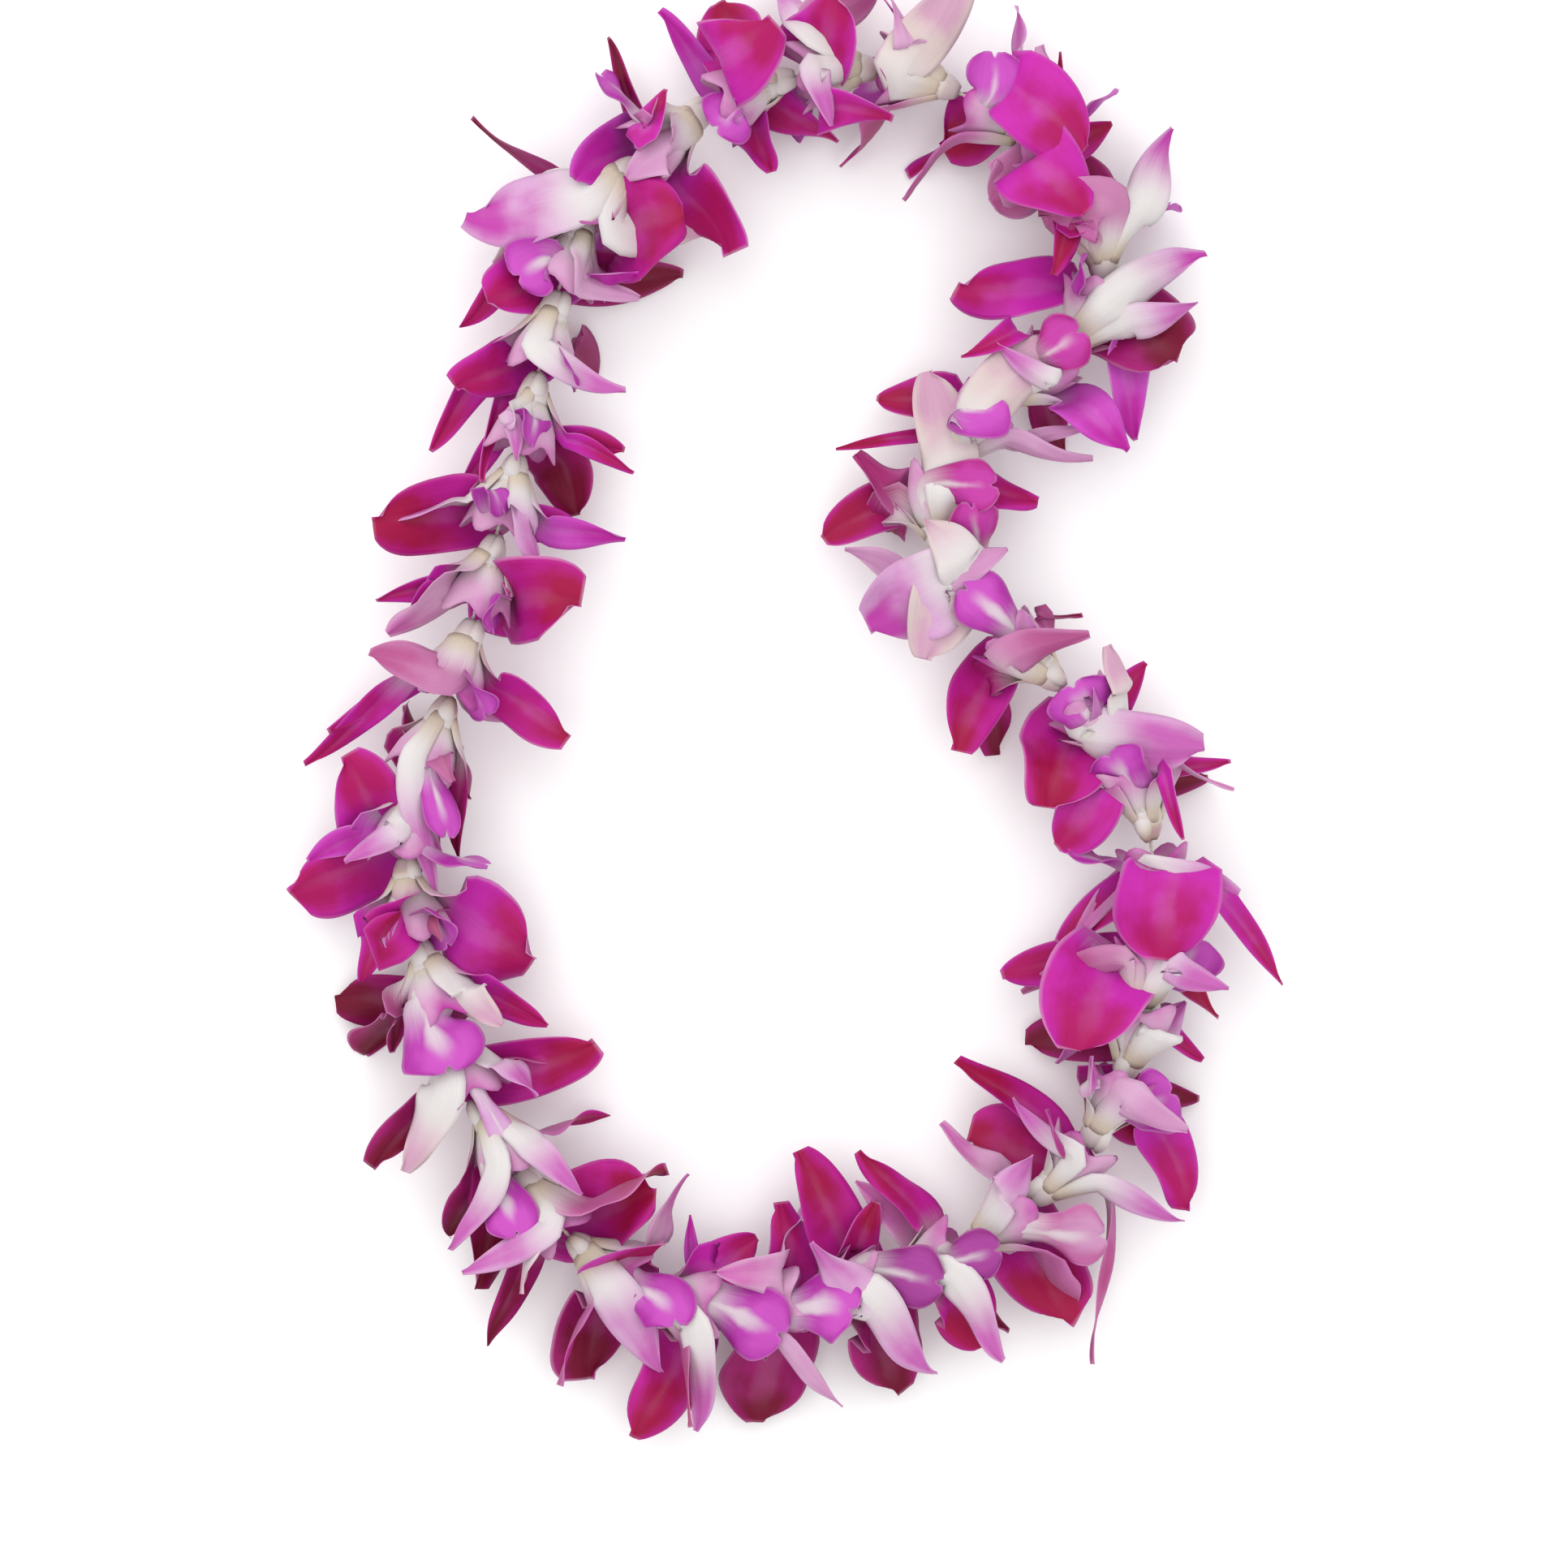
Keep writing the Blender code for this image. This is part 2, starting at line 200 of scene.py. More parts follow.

# For each bloom: how far its mouth is along the string from its even place, then the pieces that show, each
# with its kind, the place of its tip, the turn of its face (0 up, 90 ahead, 180 down), the width that shows
# and its tone. A seventh value is the height of the tip. A bloom's other pieces come from spare_pieces.
# Tone d is a dark crimson that paints the shade on pieces lying under others
BLOOMS = (
    (-2, ("P", 14, 211, 5, 22, "m", 33), ("S", 31, 174, 25, 11, "m"), ("S", 13, 172, 150, 8, "w"),
     ("S", -4, 216, 150, 9, "w", 8), ("P", 29, 214, 160, 12, "r", 12)),
    (-2, ("P", -5, 204, 5, 24, "m", 42), ("S", 14, 166.5, 25, 12, "m"), ("S", -6, 158, 40, 14, "m"),
     ("S", -38, 206, 30, 9, "v"), ("P", -20, 209, 35, 18, "c")),
    (0, ("S", -54, 198, 30, 6, "d"), ("S", -36, 183, 40, 9, "m"), ("S", -48, 157, 170, 14, "l"),
     ("P", -63, 156, 25, 16, "v"), ("P", -17, 134, 25, 17, "m")),
    (2, ("P", -31, 148, 5, 27, "c", 42), ("S", -94, 174, 60, 4.5, "d"), ("P", -95, 146, 165, 18, "x", 26),
     ("S", -87, 131, 165, 12, "k", 20), ("S", -20, 140, 175, 14, "k", 12)),
    (-2, ("P", -89, 120, 5, 18, "m", 34), ("S", -43.5, 127, 30, 9, "v", 28), ("S", -44, 121, 150, 8, "l", 22),
     ("P", -31, 127, 30, 14, "d"), ("S", -97, 112, 20, 9, "m")),
    (-2, ("P", -98, 94, 8, 15, "m", 32), ("S", -48, 93.5, 170, 8, "w"), ("P", -59, 97, 30, 12, "d"),
     ("S", -106, 76, 20, 10, "m"), ("S", -90, 66.5, 35, 6, "m")),
    (-2, ("P", -62, 57, 35, 14, "d"), ("S", -45.5, 69.5, 30, 5, "m"), ("S", -103, 57, 20, 6, "m"),
     ("S", -80, 73, 160, 6, "w"), ("P", -48.5, 75.5, 40, 8, "m"), ("L", -76, 77, 160, 14, "v")),
    (-2, ("L", -84, 57, 160, 13, "v"), ("P", -123, 55, 8, 20, "c", 30), ("P", -62, 50, 25, 10, "m"),
     ("S", -48, 49.5, 25, 8.5, "v")),
    (-2, ("P", -72, 24, 20, 14, "m"), ("P", -61, 31, 5, 23, "c", 34), ("S", -122, 31.5, 30, 7, "m"),
     ("S", -113, 25, 40, 8, "m"), ("S", -118, 21, 50, 9, "l")),
    (-1, ("S", -124, 16, 150, 12, "r"), ("P", -74, -4, 30, 9, "l"), ("P", -64.5, -9, 15, 13, "c"),
     ("S", -136, -7.5, 25, 7, "m"), ("S", -143, -17, 20, 8, "m")),
    (-2, ("L", -101, -38.5, 160, 11, "v"), ("S", -99, -22, 30, 10, "m"), ("P", -95, -27, 50, 9, "d"),
     ("S", -98, -46.5, 30, 6, "d"), ("P", -111, 1.5, 60, 7, "d"), ("S", -104, -55, 165, 8, "w")),
    (-2, ("P", -131, -14, 10, 20, "m", 30), ("P", -135, -38, 20, 13, "d"), ("S", -131, -46, 165, 8, "w"),
     ("S", -142, -46, 30, 8, "v"), ("P", -147, -56, 20, 20, "m")),
    (-2, ("S", -118, -71, 30, 9, "v"), ("S", -102, -69, 30, 9, "c"), ("P", -75, -75, 5, 24, "m"),
     ("S", -126, -81, 30, 9, "m"), ("P", -114, -60, 15, 15, "c")),
    (-2, ("L", -100, -108, 175, 26, "v"), ("S", -117, -102, 80, 5, "d"), ("P", -134, -86, 20, 15, "d"),
     ("S", -71, -94, 20, 10, "m")),
    (-2, ("P", -57, -99, 5, 17, "c"), ("P", -123, -136, 30, 10, "d"), ("L", -81, -134, 160, 8, "l"),
     ("S", -113, -137, 160, 13, "k")),
    (-2, ("S", -100, -160, 150, 7, "w"), ("S", -61, -144, 165, 8, "w"), ("P", -99, -157, 60, 9, "d"),
     ("P", -92, -172, 30, 15, "d"), ("L", -80, -157, 165, 16, "v")),
    (-2, ("P", -39, -144, 0, 25, "c", 30), ("S", -96, -167, 155, 8, "w"), ("S", -88, -189, 30, 9, "d")),
    (-2, ("P", -37, -158, 5, 21, "m", 30), ("P", -58, -199, 20, 20, "d"), ("S", -37, -196, 165, 13, "w"),
     ("L", -33, -183, 170, 18, "v")),
    (-2, ("S", -29, -150, 40, 4, "v"), ("P", -9, -157, 10, 13, "m"), ("S", -27, -214, 150, 9, "w"),
     ("P", -46, -216, 20, 18, "c"), ("L", -1, -186, 175, 24, "v")),
    (-2, ("S", -21, -167, 20, 12, "l"), ("P", -2, -146, 15, 14, "m"), ("P", -8, -212, 20, 22, "d"),
     ("L", 20, -179, 175, 22, "v"), ("S", 16, -207, 150, 6, "l")),
    (-2, ("P", 3, -131, 10, 17, "c"), ("S", 7, -158, 160, 14, "w"), ("S", 26, -146, 25, 12, "c"),
     ("P", 34, -203, 25, 20, "d"), ("S", 44, -197, 165, 12, "w"), ("L", 46, -170, 175, 20, "p")),
    (-2, ("S", 21, -131, 40, 9, "c"), ("S", 20, -140, 20, 10, "l"), ("P", 57, -189, 20, 18, "c"),
     ("S", 64, -192, 150, 10, "w"), ("P", 66, -184, 40, 7, "d"), ("L", 63, -160, 170, 16, "p")),
    (-2, ("P", 85, -182, 10, 24, "c"), ("S", 45, -123, 30, 7, "l"), ("L", 94, -156, 150, 17, "r")),
    (-2, ("P", 53, -127, 10, 21, "c"), ("P", 50, -104, 30, 9, "c"), ("S", 67, -115, 160, 6, "w"),
     ("L", 76, -119, 160, 12, "m"), ("S", 117, -151, 160, 7, "w"), ("S", 91, -194, 70, 4, "r")),
    (-4, ("P", 109, -129, 15, 14, "c"), ("P", 118, -149, 20, 14, "m"), ("S", 118, -125, 150, 10, "l"),
     ("S", 122, -115, 10, 12, "d"), ("S", 90, -103, 165, 6, "w")),
    (-7, ("P", 70, -99, 15, 14, "d"), ("S", 118, -88, 165, 12, "w", 16), ("P", 76, -86, 40, 10, "d", 12),
     ("L", 103, -84, 175, 14, "v", 23), ("S", 79, -105, 160, 8, "w", 12), ("S", 123, -104, 30, 8, "m", 12)),
    (-14, ("P", 87, -102, 5, 29, "m", 42), ("P", 63, -79, 15, 13, "m"), ("S", 69, -84, 150, 8, "r", 14),
     ("S", 128, -91, 25, 10, "c"), ("S", 130, -83, 160, 9, "w")),
    (-11, ("P", 111, -75, 5, 27, "m", 36), ("P", 81, -71, 20, 11, "m"), ("S", 82, -73, 20, 6, "l"),
     ("S", 146, -82, 20, 8, "m"), ("S", 133, -55, 160, 9, "w")),
    (-9, ("P", 124, -21, 20, 12, "d"), ("S", 131, -16, 30, 7, "m"), ("S", 132, -24, 80, 2.5, "l"),
     ("P", 79, -41, 10, 17, "m", 26), ("S", 117, -39, 40, 5, "m")),
    (-10, ("P", 78, -30, 8, 26, "c", 34), ("P", 123, -12, 170, 16, "w"), ("S", 106, 13, 15, 10, "m"),
     ("S", 90, 6, 10, 10, "v")),
    (-5, ("S", 89, 22, 160, 11, "r"), ("S", 71, 27, 20, 8, "v"), ("S", 87, 27, 75, 3, "d"),
     ("P", 50, -13, 8, 16, "c", 26), ("P", 62, -14, 30, 10, "d"), ("L", 51, 36, 175, 18, "v")),
    (-2, ("P", 41, 14, 170, 20, "k"), ("P", 24, 24, 165, 22, "x"), ("S", 40, 56, 170, 14, "k"),
     ("S", 17, 47, 160, 9, "l"), ("L", 54, 61, 170, 16, "m"), ("S", 65, 47, 170, 12, "l")),
    (-2, ("P", 10, 50, 15, 13, "c"), ("P", 42, 99, 170, 15, "k"), ("S", 20, 75, 25, 15, "r"),
     ("S", 32, 60, 30, 11, "d"), ("S", 74, 61, 30, 13, "m"), ("L", 62, 66, 160, 15, "m")),
    (-2, ("S", 14, 77, 30, 5, "c"), ("P", 26, 92, 20, 13, "c"), ("P", 80, 109, 170, 15, "k"),
     ("L", 63, 92, 175, 22, "v"), ("S", 90, 74, 150, 6, "l"), ("S", 89, 83, 160, 5, "l")),
    (-2, ("S", 51, 104, 20, 8, "m"), ("S", 62, 108, 160, 7, "w"), ("P", 88, 86, 20, 18, "d"),
     ("P", 82, 76, 25, 10, "d"), ("S", 101, 76, 20, 17, "v", 30), ("L", 87, 112, 175, 18, "m")),
    (-2, ("P", 116, 104, 10, 25, "d", 28), ("P", 50, 125, 10, 15, "m", 28), ("S", 124, 134, 160, 12, "x"),
     ("S", 103, 79, 15, 12, "v"), ("S", 121, 120, 150, 9, "w")),
    (-2, ("P", 74, 146, 165, 17, "r"), ("S", 94, 146, 30, 7, "c"), ("S", 113, 171, 165, 12, "x"),
     ("S", 78, 128, 40, 8, "c")),
    (-2, ("P", 88, 146, 5, 23, "m", 40), ("P", 60, 149, 165, 17, "r", 22), ("S", 75, 196, 160, 10, "l"),
     ("S", 80, 194, 30, 5, "c"), ("S", 96, 173, 15, 13, "c")),
    (-5, ("P", 89, 166, 5, 21, "m", 40), ("P", 45, 166, 15, 20, "c"), ("L", 61, 194, 170, 18, "v")),
    (-2, ("P", 51, 217, 165, 15, "k"), ("P", 36, 180, 15, 12, "d"), ("S", 30, 209, 150, 6, "l"),
     ("S", 28, 209, 60, 3, "v")),
)


def unit(vector):
    return vector / np.linalg.norm(vector)


def smooth(value, low, high):
    """0 below low, 1 above high, and an S curve between them."""
    share = np.clip((value - low) / (high - low), 0, 1)
    return share * share * (3 - 2 * share)


class Route:
    """The string's closed line in the frame's place, in millimetres, with the way it runs."""

    def __init__(self):
        line = self.through(np.array(ROUTE))
        for _ in range(ROUTE_EASING):
            line = (np.roll(line, 1, axis=0) + 2 * line + np.roll(line, -1, axis=0)) / 4
        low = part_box("string")[0]
        self.shift = (np.array(low[:2]) + STRING_RADIUS - line.min(axis=0)) / MM
        line = line / MM + self.shift
        steps = np.linalg.norm(np.roll(line, -1, axis=0) - line, axis=1)
        self.along = np.concatenate([[0], np.cumsum(steps)])
        self.line = np.vstack([line, line[:1]])
        self.length = self.along[-1]
        self.height = STRING_HEIGHT / MM
        self.eye = np.array(PICTURE_MIDDLE) + self.shift

    @staticmethod
    def through(corners):
        """A closed line of cubic spans through the corners."""
        before, after = np.roll(corners, 1, axis=0), np.roll(corners, -1, axis=0)
        beyond = np.roll(corners, -2, axis=0)
        share = np.linspace(0, 1, ROUTE_STEPS, endpoint=False)[:, None]
        spans = []
        for a, b, c, d in zip(before, corners, after, beyond):
            slope_b, slope_c = (c - a) / 2, (d - b) / 2
            bend = 3 * (c - b) - 2 * slope_b - slope_c
            twist = 2 * (b - c) + slope_b + slope_c
            spans.append(b + slope_b * share + bend * share**2 + twist * share**3)
        return np.vstack(spans)

    def point(self, s):
        s = s % self.length
        x, y = [np.interp(s, self.along, self.line[:, axis]) for axis in (0, 1)]
        return np.array([x, y, self.height])

    def forward(self, s):
        return unit(self.point(s + 2) - self.point(s - 2))

    def seen_at(self, x, y, z):
        """The place at height z that the camera sees where the table has (x, y)."""
        seen = np.array([x, y]) + self.shift
        nearer = 1 - (z - self.height) / EYE_HEIGHT
        return np.array([*(self.eye + (seen - self.eye) * nearer), z])


class Spot:
    """A place on the string, with the way the string runs and the way to its right."""

    def __init__(self, route, at):
        self.place = route.point(at)
        self.way = route.forward(at)
        self.right = np.array([self.way[1], -self.way[0], 0.0])

    def outward(self, turn):
        """The way out from the string at a turn round it: 0 to its right, a quarter turn up."""
        return math.cos(turn) * self.right + math.sin(turn) * UP


class Bundle:
    """Vertices, faces and paint gathered for one object."""

    def __init__(self):
        self.points, self.faces, self.places, self.tips, self.bases = [], [], [], [], []
        self.count = 0

    def add(self, points, faces, places, tips, bases):
        """Places are across and along for each vertex. Tips and bases are its two colours, each with a share:
        how far the white base reaches, and how pale the rim is."""
        self.points.append(points)
        self.faces += [tuple(corner + self.count for corner in face) for face in faces]
        self.places.append(places)
        self.tips.append(np.broadcast_to(tips, (len(points), 4)))
        self.bases.append(np.broadcast_to(bases, (len(points), 4)))
        self.count += len(points)

    def build(self, name, material):
        mesh = bpy.data.meshes.new(name)
        mesh.from_pydata(np.vstack(self.points) * MM, [], self.faces)
        corners = np.zeros(len(mesh.loops), int)
        mesh.loops.foreach_get("vertex_index", corners)
        uv = mesh.uv_layers.new(name="petal")
        uv.data.foreach_set("uv", np.vstack(self.places)[corners].astype(np.float32).ravel())
        for label, values in (("tipward", self.tips), ("baseward", self.bases)):
            paint = mesh.color_attributes.new(label, "FLOAT_COLOR", "POINT")
            paint.data.foreach_set("color", np.vstack(values).astype(np.float32).ravel())
        mesh.shade_smooth()
        mesh.materials.append(material)
        made = bpy.data.objects.new(name, mesh)
        bpy.context.scene.collection.objects.link(made)
        return made


def shell_faces(rows, columns):
    """Faces of a closed thin shell: a front grid, then a back grid, then the band round their rim."""
    size = rows * columns
    grid = np.arange(size).reshape(rows, columns)
    faces = []
    for i in range(rows - 1):
        for j in range(columns - 1):
            a, b, c, d = grid[i, j], grid[i, j + 1], grid[i + 1, j + 1], grid[i + 1, j]
            faces.append((a, b, c, d))
            faces.append((d + size, c + size, b + size, a + size))
    loop = [*grid[0, :-1], *grid[:-1, -1], *grid[-1, :0:-1], *grid[:0:-1, 0]]
    for a, b in zip(loop, loop[1:] + loop[:1]):
        faces.append((b, a, a + size, b + size))
    return faces


def tube_faces(rings, spokes, joined=False):
    """Faces of a tube whose rings turn from its right over its top: its sides, and its two ends unless the
    last ring is joined to the first."""
    faces = []
    for i in range(rings if joined else rings - 1):
        n = (i + 1) % rings
        for j in range(spokes):
            k = (j + 1) % spokes
            faces.append((i * spokes + k, i * spokes + j, n * spokes + j, n * spokes + k))
    if not joined:
        faces.append(tuple(range(spokes)))
        faces.append(tuple(range(rings * spokes - 1, (rings - 1) * spokes - 1, -1)))
    return faces


def middle_line(start, first, tip, last, cup, flare, length):
    """A line of about the given length: straight along first through the cup, then a cubic out to its tip."""
    turn = start + cup * first
    share = np.linspace(0, 1, FLARE_POINTS)[:, None]
    chord = np.linalg.norm(tip - turn)
    handle = 0.33 * chord
    for _ in range(8):
        a, b = turn + flare * first, tip - handle * last
        line = ((1 - share)**3 * turn + 3 * share * (1 - share)**2 * a
                + 3 * share**2 * (1 - share) * b + share**3 * tip)
        run = np.linalg.norm(np.diff(line, axis=0), axis=1).sum()
        handle = np.clip(handle * ((length - cup) / run)**2, 0.15 * chord, 0.5 * length)
    inside = np.linspace(0, 1, CUP_POINTS, endpoint=False)[:, None]
    return np.vstack([start + cup * inside * first, line])


class Blade:
    """A petal's middle line with the way its face looks, which turns to its goal about halfway out."""

    def __init__(self, line, face, goal=None, turned=0.55, end_twist=0.0):
        self.line = line
        steps = np.linalg.norm(np.diff(line, axis=0), axis=1)
        self.share = np.concatenate([[0], np.cumsum(steps)]) / steps.sum()
        self.way = np.gradient(line, axis=0)
        self.way /= np.linalg.norm(self.way, axis=1)[:, None]
        faces = []
        for way in self.way:
            face = unit(face - (face @ way) * way)
            faces.append(face)
        self.face = np.array(faces)
        if goal is not None:
            self.turn_to(goal, turned)
        self.twist(end_twist * smooth(self.share, turned, 1.0))
        self.side = np.cross(self.way, self.face)

    def turn_to(self, goal, turned):
        at = np.searchsorted(self.share, turned)
        way, now = self.way[at], self.face[at]
        wanted = goal(way)
        turn = math.atan2(np.cross(now, wanted) @ way, now @ wanted)
        self.twist(turn * smooth(self.share, 0.05, turned))

    def twist(self, angle):
        side = np.cross(self.way, self.face)
        self.face = np.cos(angle)[:, None] * self.face + np.sin(angle)[:, None] * side

    def read(self, table, along):
        return np.stack([np.interp(along, self.share, table[:, axis]) for axis in range(3)], axis=-1)

    def surface(self, along, across, half, arc, lift):
        """Points at shares along and across: half widths, arc angles of the section, lift off the face."""
        middle, face, side = (self.read(t, along) for t in (self.line, self.face, self.side))
        arc = np.maximum(np.abs(arc), 0.01) * np.where(arc < 0, -1, 1)
        flat = (half * np.sin(across * arc) / arc)[..., None]
        rise = (half * (1 - np.cos(across * arc)) / arc + lift)[..., None]
        return middle + flat * side + rise * face


def surface_normals(points):
    down, over = np.gradient(points, axis=0), np.gradient(points, axis=1)
    normal = np.cross(over, down)
    return normal / np.maximum(np.linalg.norm(normal, axis=-1), 1e-9)[..., None]


def add_shell(bundle, points, along, across, tone, reach, edge, sheet):
    """A closed shell over a grid of points, thinning to its rim."""
    rows, columns = along.shape
    thin = 1 - 0.65 * smooth(np.maximum(np.abs(across), along), 0.6, 1.0)
    half = (sheet * thin / 2)[..., None] * surface_normals(points)
    places = np.stack([(across + 1) / 2, along], axis=-1).reshape(-1, 2)
    both = np.vstack([(points + half).reshape(-1, 3), (points - half).reshape(-1, 3)])
    size = rows * columns
    floor = np.concatenate([np.full(size, LOWEST_FRONT), np.full(size, LOWEST_BACK)])
    both[:, 2] = np.maximum(both[:, 2], floor)
    front_tip, front_base, back_tip, back_base = tone
    tips = np.vstack([np.tile((*front_tip, reach), (size, 1)), np.tile((*back_tip, reach), (size, 1))])
    bases = np.vstack([np.tile((*front_base, edge), (size, 1)), np.tile((*back_base, edge), (size, 1))])
    bundle.add(both, shell_faces(rows, columns), np.vstack([places, places]), tips, bases)


# Half width along each kind of piece, as a share of its widest
PETAL_BLUNT = ((0, 0.38), (0.10, 0.52), (0.20, 0.74), (0.34, 0.93), (0.50, 1.0), (0.64, 1.0), (0.77, 0.95),
               (0.87, 0.80), (0.94, 0.57), (0.98, 0.32), (1.0, 0.10))
PETAL_POINTED = ((0, 0.38), (0.10, 0.54), (0.20, 0.80), (0.32, 0.96), (0.47, 1.0), (0.62, 0.97), (0.76, 0.82),
                 (0.88, 0.58), (0.955, 0.34), (1.0, 0.10))
SEPAL_OUTLINE = ((0, 0.66), (0.10, 0.76), (0.24, 0.95), (0.40, 1.0), (0.56, 0.92), (0.72, 0.72), (0.85, 0.48),
                 (0.94, 0.26), (1.0, 0.08))
LIP_OUTLINE = ((0, 0.30), (0.12, 0.44), (0.27, 0.62), (0.42, 0.70), (0.52, 0.62), (0.62, 0.74), (0.78, 1.0),
               (0.89, 0.94), (0.96, 0.66), (1.0, 0.36))
LIP_ARC = ((0, 1.3), (0.3, 1.3), (0.5, 1.0), (0.64, 0.5), (0.82, 0.2), (1.0, -0.25))


def rounded(outline, along):
    """The outline as a smooth curve through its points."""
    shares, values = np.array(outline).T
    slopes = np.gradient(values, shares)
    at = np.clip(np.searchsorted(shares, along, side="right") - 1, 0, len(shares) - 2)
    width = shares[at + 1] - shares[at]
    t = (along - shares[at]) / width
    rise = (values[at] * (2 * t**3 - 3 * t**2 + 1) + slopes[at] * width * (t**3 - 2 * t**2 + t)
            + values[at + 1] * (3 * t**2 - 2 * t**3) + slopes[at + 1] * width * (t**3 - t**2))
    return np.maximum(rise, 0.02)


def tepal_half_width(kind, width, along, across, dice):
    """Half the width at each place: petals from blunt to pointed, a little skewed, uneven and wavy."""
    skew = dice.uniform(-0.12, 0.12) if kind == "P" else dice.uniform(-0.09, 0.09)
    shifted = np.clip(along + skew * across * np.sin(0.72 * math.pi * along), 0, 1)
    if kind == "P":
        point = dice.random()
        outline = (1 - point) * rounded(PETAL_BLUNT, shifted) + point * rounded(PETAL_POINTED, shifted)
    else:
        outline = rounded(SEPAL_OUTLINE, shifted)
    half = width / 2 * outline * (1 + 0.10 * np.sign(across) * dice.uniform(-1, 1))
    return half * (1 + 0.05 * np.sin(8 * along + 2 * across + dice.uniform(0, 6)))


def add_tepal(bundle, blade, kind, width, tone, dice):
    """A petal or sepal: hollow at its base, then flatter, with a rippled edge, a midrib and a curled tip."""
    rows, columns = GRID[kind]
    steps = 1 - (1 - np.linspace(0, 1, rows))**1.35
    along, across = np.meshgrid(steps, np.linspace(-1, 1, columns), indexing="ij")
    half = tepal_half_width(kind, width, along, across, dice)
    cup = dice.uniform(0.1, 0.5) if kind == "P" else dice.uniform(0.2, 0.7)
    arc = 0.6 * (1 - smooth(along, 0.1, 0.5)) + cup - dice.uniform(0, 0.9) * smooth(along, 0.4, 1.0)
    edge = np.abs(across)**2.5 * smooth(along, 0.25, 0.6)
    phase, waves = dice.uniform(0, 6), dice.uniform(7, 12)
    ripple = edge * np.sin(waves * along + phase + 1.5 * across) * width * 0.085
    midrib = -0.4 * np.exp(-(across / 0.12)**2) * smooth(along, 0.05, 0.3)
    curl = -0.09 * width * smooth(along, 0.7, 1.0) * dice.uniform(-0.7, 1.5)
    points = blade.surface(along, across, half, arc, ripple + midrib + curl)
    reach = WHITE_REACH[kind] * dice.uniform(0.75, 1.3) * WHITER.get(tone, 1.0)
    pale_edge = dice.uniform(0.0, 0.5)
    add_shell(bundle, points, along, across, TONES[tone], reach, pale_edge, SHEET)


def add_lip(bundle, blade, width, tone, dice):
    """A lip: side lobes rolled up round the column, then a ruffled blade with two keels and a notch."""
    rows, columns = GRID["L"]
    along, across = np.meshgrid(np.linspace(0, 1, rows), np.linspace(-1, 1, columns), indexing="ij")
    half = width / 2 * rounded(LIP_OUTLINE, along)
    arc = np.interp(along, *zip(*LIP_ARC))
    edge = np.abs(across)**2 * smooth(along, 0.45, 0.75)
    phase = dice.uniform(0, 6)
    ripple = edge * np.sin(15 * along + phase + 4 * across) * width * 0.05
    keels = 0.5 * (np.exp(-((across - 0.16) / 0.07)**2) + np.exp(-((across + 0.16) / 0.07)**2))
    keels = keels * smooth(along, 0.1, 0.2) * (1 - smooth(along, 0.5, 0.62))
    notch = 0.055 * np.exp(-(across / 0.22)**2) * smooth(along, 0.75, 1.0)
    points = blade.surface(along * (1 - notch), across, half, arc, ripple + keels)
    pale_edge = 0.3
    add_shell(bundle, points, along, across, LIP_TONES[tone] * 2, WHITE_REACH["L"], pale_edge, LIP_SHEET)


def add_turned(bundle, centres, ways, radii, colours, spokes):
    """A closed skin round a line of centres; colours are one for each ring."""
    turn = np.linspace(0, 2 * math.pi, spokes, endpoint=False)[:, None]
    rings = []
    for centre, way, radius in zip(centres, ways, radii):
        side = unit(np.cross(way, UP))
        over = np.cross(side, way)
        rings.append(centre + radius * (np.cos(turn) * side + np.sin(turn) * over))
    places = np.tile((0.5, 0.6), (len(rings) * spokes, 1))
    paint = np.repeat(np.array([(*c, 0.0) for c in colours]), spokes, axis=0)
    bundle.add(np.vstack(rings), tube_faces(len(rings), spokes), places, paint, paint)


def add_throat(bundle, route, back, lip_way):
    """The cut throat, its chin under the lip, and the column that stands in its mouth."""
    # Brown at the cut back end, then tan and rose painted as shade deep in the flower, then cream that is
    # partly painted shade, and white at the mouth
    shades = (BROWN, SHADE_TAN, SHADE_ROSE, SHADE_ROSE, SHADE_TAN, SHADED_CREAM, SHADED_CREAM, SHADED_CREAM, WHITE, WHITE)
    steps = np.linspace(0, THROAT_LENGTH, len(shades))
    centres = [route.point(back + step) for step in steps]
    ways = [route.forward(back + step) for step in steps]
    radii = np.interp(steps, THROAT_STEPS, THROAT_RADII)
    add_turned(bundle, centres, ways, radii, shades, THROAT_SPOKES)
    mouth, way = centres[-1], ways[-1]
    chin = [mouth + lip_way * out - way * drop for out, drop in zip(CHIN_OUT, CHIN_BACK)]
    chin_ways = [unit(b - a) for a, b in zip(chin, chin[1:])]
    chin_ways.append(chin_ways[-1])
    # Cream, then tan towards the chin's back, painted as shade deep in the flower
    shades = (WHITE, WHITE, SHADED_CREAM, SHADE_TAN, SHADE_TAN)
    add_turned(bundle, chin, chin_ways, CHIN_RADII, shades, STEM_SPOKES)
    column = [mouth + way * ahead - lip_way * (COLUMN_OFFSET + COLUMN_SLOPE * ahead)
              for ahead in COLUMN_AHEAD]
    shades = (WHITE, WHITE, WHITE, WHITE, TONES["l"][0], TONES["v"][0])
    add_turned(bundle, column, [way] * len(column), COLUMN_RADII, shades, STEM_SPOKES)


